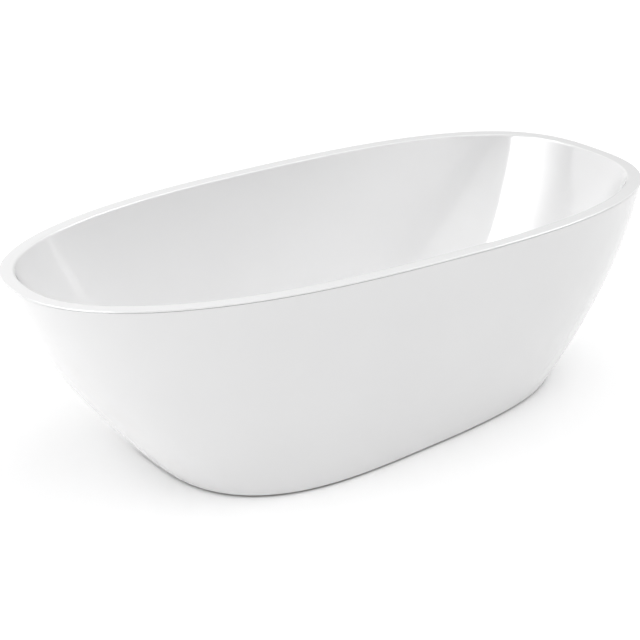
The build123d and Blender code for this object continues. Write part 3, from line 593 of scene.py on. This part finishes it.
FLOOR_REACH = 60.0
FLOOR_ALBEDO = 0.93
FLOOR_GLOW = 0.03
SOFTBOXES = (
    # azimuth, elevation, sharpness, radiance
    (-90, 15, 5, 0.70),
    (45, 15, 5, 0.36),
    (90, 15, 5, 0.50),
    (180, 20, 4, 1.14),
    (-135, 20, 4, 0.90),
    (0, 60, 6, 1.30),
    (-30, 42, 6, 0.45),
    (-90, 55, 6, 0.11),
    (90, 55, 6, 1.65),
)
SIDE_LAMP_AZIMUTH = -96.0
SIDE_LAMP_ELEVATION = 15.0
SIDE_LAMP_DISTANCE = 4.0
SIDE_LAMP_WIDTH = 4.0
SIDE_LAMP_HEIGHT = 2.4
SIDE_LAMP_POWER = 26.0

# Panels that only the gloss shows. Each leans by its angle, is crisp along one edge and fades
# towards the other, and side_fade softens its two ends. Edges and lengths are in units of the
# panel's distance.
PANEL_DISTANCE = 8.0
PANEL_AIM = Vector((0.7, 0.15, 0.4))
PANELS = (
    # name, azimuth, elevation, lean, half length, faded edge, crisp edge, fade, side fade, radiance
    ("window_panel", -88, 38, 38, 1.0, -0.64, 0.345, 1.2, 0.01, 15.0),
    ("lamp_panel", 66, 41, 0, 0.35, -0.20, 0.20, 0.2, 0.2, 11.0),
    ("front_panel", -4, 12, 0, 1.0, 0.34, -0.20, 0.8, 0.45, 2.0),
)


def make_floor():
    """Pale studio floor with a faint glow of its own."""
    mesh = bpy.data.meshes.new("studio_floor")
    corners = [(x * FLOOR_REACH, y * FLOOR_REACH, 0) for x, y in ((-1, -1), (1, -1), (1, 1), (-1, 1))]
    mesh.from_pydata(corners, [], [(0, 1, 2, 3)])
    floor = bpy.data.objects.new("studio_floor", mesh)
    bpy.context.scene.collection.objects.link(floor)
    material, _, shader = new_material("pale_floor")
    shader.inputs["Base Color"].default_value = (FLOOR_ALBEDO, FLOOR_ALBEDO, FLOOR_ALBEDO, 1)
    shader.inputs["Roughness"].default_value = 0.9
    shader.inputs["Specular IOR Level"].default_value = 0.0
    shader.inputs["Emission Color"].default_value = (1, 1, 1, 1)
    shader.inputs["Emission Strength"].default_value = FLOOR_GLOW
    mesh.materials.append(material)


def smooth_step(tree, source, start, stop, low, high):
    """Node that eases from low to high while the source goes from start to stop."""
    node = tree.nodes.new("ShaderNodeMapRange")
    node.interpolation_type = "SMOOTHSTEP"
    node.inputs["From Min"].default_value = start
    node.inputs["From Max"].default_value = stop
    node.inputs["To Min"].default_value = low
    node.inputs["To Max"].default_value = high
    tree.links.new(source, node.inputs["Value"])
    return node.outputs["Result"]


def combine(tree, operation, one, two):
    node = tree.nodes.new("ShaderNodeMath")
    node.operation = operation
    tree.links.new(one, node.inputs[0])
    tree.links.new(two, node.inputs[1])
    return node.outputs["Value"]


def direction(azimuth, elevation):
    """Unit vector: azimuth 0 is towards -Y and 90 towards +X, elevation is above the horizon."""
    a, e = math.radians(azimuth), math.radians(elevation)
    return Vector((math.sin(a) * math.cos(e), -math.cos(a) * math.cos(e), math.sin(e)))


def softbox_glow(tree, place, azimuth, elevation, sharpness, radiance):
    """Round glow on the dome about one direction, fading with the cosine's power."""
    facing = tree.nodes.new("ShaderNodeVectorMath")
    facing.operation = "DOT_PRODUCT"
    facing.inputs[1].default_value = direction(azimuth, elevation)
    tree.links.new(place.outputs["Generated"], facing.inputs[0])
    front = tree.nodes.new("ShaderNodeMath")
    front.operation = "MAXIMUM"
    front.inputs[1].default_value = 0.0
    tree.links.new(facing.outputs["Value"], front.inputs[0])
    falloff = tree.nodes.new("ShaderNodeMath")
    falloff.operation = "POWER"
    falloff.inputs[1].default_value = sharpness
    tree.links.new(front.outputs["Value"], falloff.inputs[0])
    level = tree.nodes.new("ShaderNodeMath")
    level.operation = "MULTIPLY"
    level.inputs[1].default_value = radiance
    tree.links.new(falloff.outputs["Value"], level.inputs[0])
    return level.outputs["Value"]


def make_world():
    """Soft studio dome: wide, soft glows all round."""
    world = bpy.data.worlds.new("studio")
    bpy.context.scene.world = world
    world.use_nodes = True
    tree = world.node_tree
    place = tree.nodes.new("ShaderNodeTexCoord")
    glows = [softbox_glow(tree, place, *softbox) for softbox in SOFTBOXES]
    total = glows[0]
    for glow in glows[1:]:
        total = combine(tree, "ADD", total, glow)
    background = tree.nodes["Background"]
    background.inputs["Color"].default_value = (1, 1, 1, 1)
    tree.links.new(total, background.inputs["Strength"])


def make_side_lamp():
    """Large soft lamp beyond the -X end, which the gloss does not show."""
    away = direction(SIDE_LAMP_AZIMUTH, SIDE_LAMP_ELEVATION)
    data = bpy.data.lights.new("side_lamp", "AREA")
    data.shape = "RECTANGLE"
    data.size = SIDE_LAMP_WIDTH
    data.size_y = SIDE_LAMP_HEIGHT
    data.energy = SIDE_LAMP_POWER
    lamp = bpy.data.objects.new("side_lamp", data)
    lamp.location = Vector((0, 0, RIM_HEIGHT / 2)) + away * SIDE_LAMP_DISTANCE
    lamp.rotation_mode = "QUATERNION"
    lamp.rotation_quaternion = away.to_track_quat("Z", "Y")
    lamp.visible_camera = False
    lamp.visible_glossy = False
    bpy.context.scene.collection.objects.link(lamp)


def panel_mesh(name, azimuth, elevation, lean, half_length, faded_edge, crisp_edge):
    """Quad that faces the tub, with V running from its faded edge to its crisp edge."""
    centre = direction(azimuth, elevation)
    across = centre.cross(Vector((0, 0, 1))).normalized()
    upward = across.cross(centre)
    slant = math.radians(lean)
    along = across * math.cos(slant) + upward * math.sin(slant)
    over = upward * math.cos(slant) - across * math.sin(slant)
    corners = []
    for u, v in (
        (-half_length, faded_edge),
        (half_length, faded_edge),
        (half_length, crisp_edge),
        (-half_length, crisp_edge),
    ):
        spot = centre + along * u + over * v
        corners.append(tuple(spot * PANEL_DISTANCE + PANEL_AIM))
    mesh = bpy.data.meshes.new(name)
    mesh.from_pydata(corners, [], [(0, 1, 2, 3)])
    uv = mesh.uv_layers.new(name="panel")
    for loop, spot in zip(uv.data, ((0, 0), (1, 0), (1, 1), (0, 1))):
        loop.uv = spot
    return mesh


def panel_material(name, fade, side_fade, radiance):
    """Emission that rises from the faded edge and falls off at both ends."""
    material = bpy.data.materials.new(name + "_glow")
    material.use_nodes = True
    tree = material.node_tree
    tree.nodes.remove(tree.nodes["Principled BSDF"])
    glow = tree.nodes.new("ShaderNodeEmission")
    place = tree.nodes.new("ShaderNodeUVMap")
    split = tree.nodes.new("ShaderNodeSeparateXYZ")
    tree.links.new(place.outputs["UV"], split.inputs["Vector"])
    level = smooth_step(tree, split.outputs["Y"], 0.0, fade, 0.0, radiance)
    near_end = smooth_step(tree, split.outputs["X"], 0.0, side_fade, 0.0, 1.0)
    far_end = smooth_step(tree, split.outputs["X"], 1.0 - side_fade, 1.0, 1.0, 0.0)
    level = combine(tree, "MULTIPLY", level, combine(tree, "MULTIPLY", near_end, far_end))
    tree.links.new(level, glow.inputs["Strength"])
    tree.links.new(glow.outputs["Emission"], tree.nodes["Material Output"].inputs["Surface"])
    return material


def make_panel(name, azimuth, elevation, lean, half_length, faded_edge, crisp_edge, fade,
               side_fade, radiance):
    """Slanted bright panel, seen only in the gloss."""
    mesh = panel_mesh(name, azimuth, elevation, lean, half_length, faded_edge, crisp_edge)
    panel = bpy.data.objects.new(name, mesh)
    bpy.context.scene.collection.objects.link(panel)
    mesh.materials.append(panel_material(name, fade, side_fade, radiance))
    panel.visible_camera = False
    panel.visible_diffuse = False
    panel.visible_shadow = False


def make_camera():
    """Camera fitted to the photograph's view of the tub."""
    flat = math.cos(CAMERA_ELEVATION)
    back = Vector((
        math.sin(CAMERA_AZIMUTH) * flat,
        -math.cos(CAMERA_AZIMUTH) * flat,
        math.sin(CAMERA_ELEVATION),
    ))
    data = bpy.data.cameras.new("camera")
    data.lens = LENS
    data.sensor_width = SENSOR
    camera = bpy.data.objects.new("camera", data)
    camera.location = CAMERA_TARGET + back * CAMERA_DISTANCE
    camera.rotation_mode = "QUATERNION"
    camera.rotation_quaternion = (-back).to_track_quat("-Z", "Y")
    bpy.context.scene.collection.objects.link(camera)
    bpy.context.scene.camera = camera


make_camera()
slot_materials = materials_by_slot()
paint_cad_nodes(slot_materials)
make_shells(slot_materials)
make_floor()
make_world()
make_side_lamp()
for panel in PANELS:
    make_panel(*panel)
bpy.context.scene.view_settings.view_transform = "Standard"
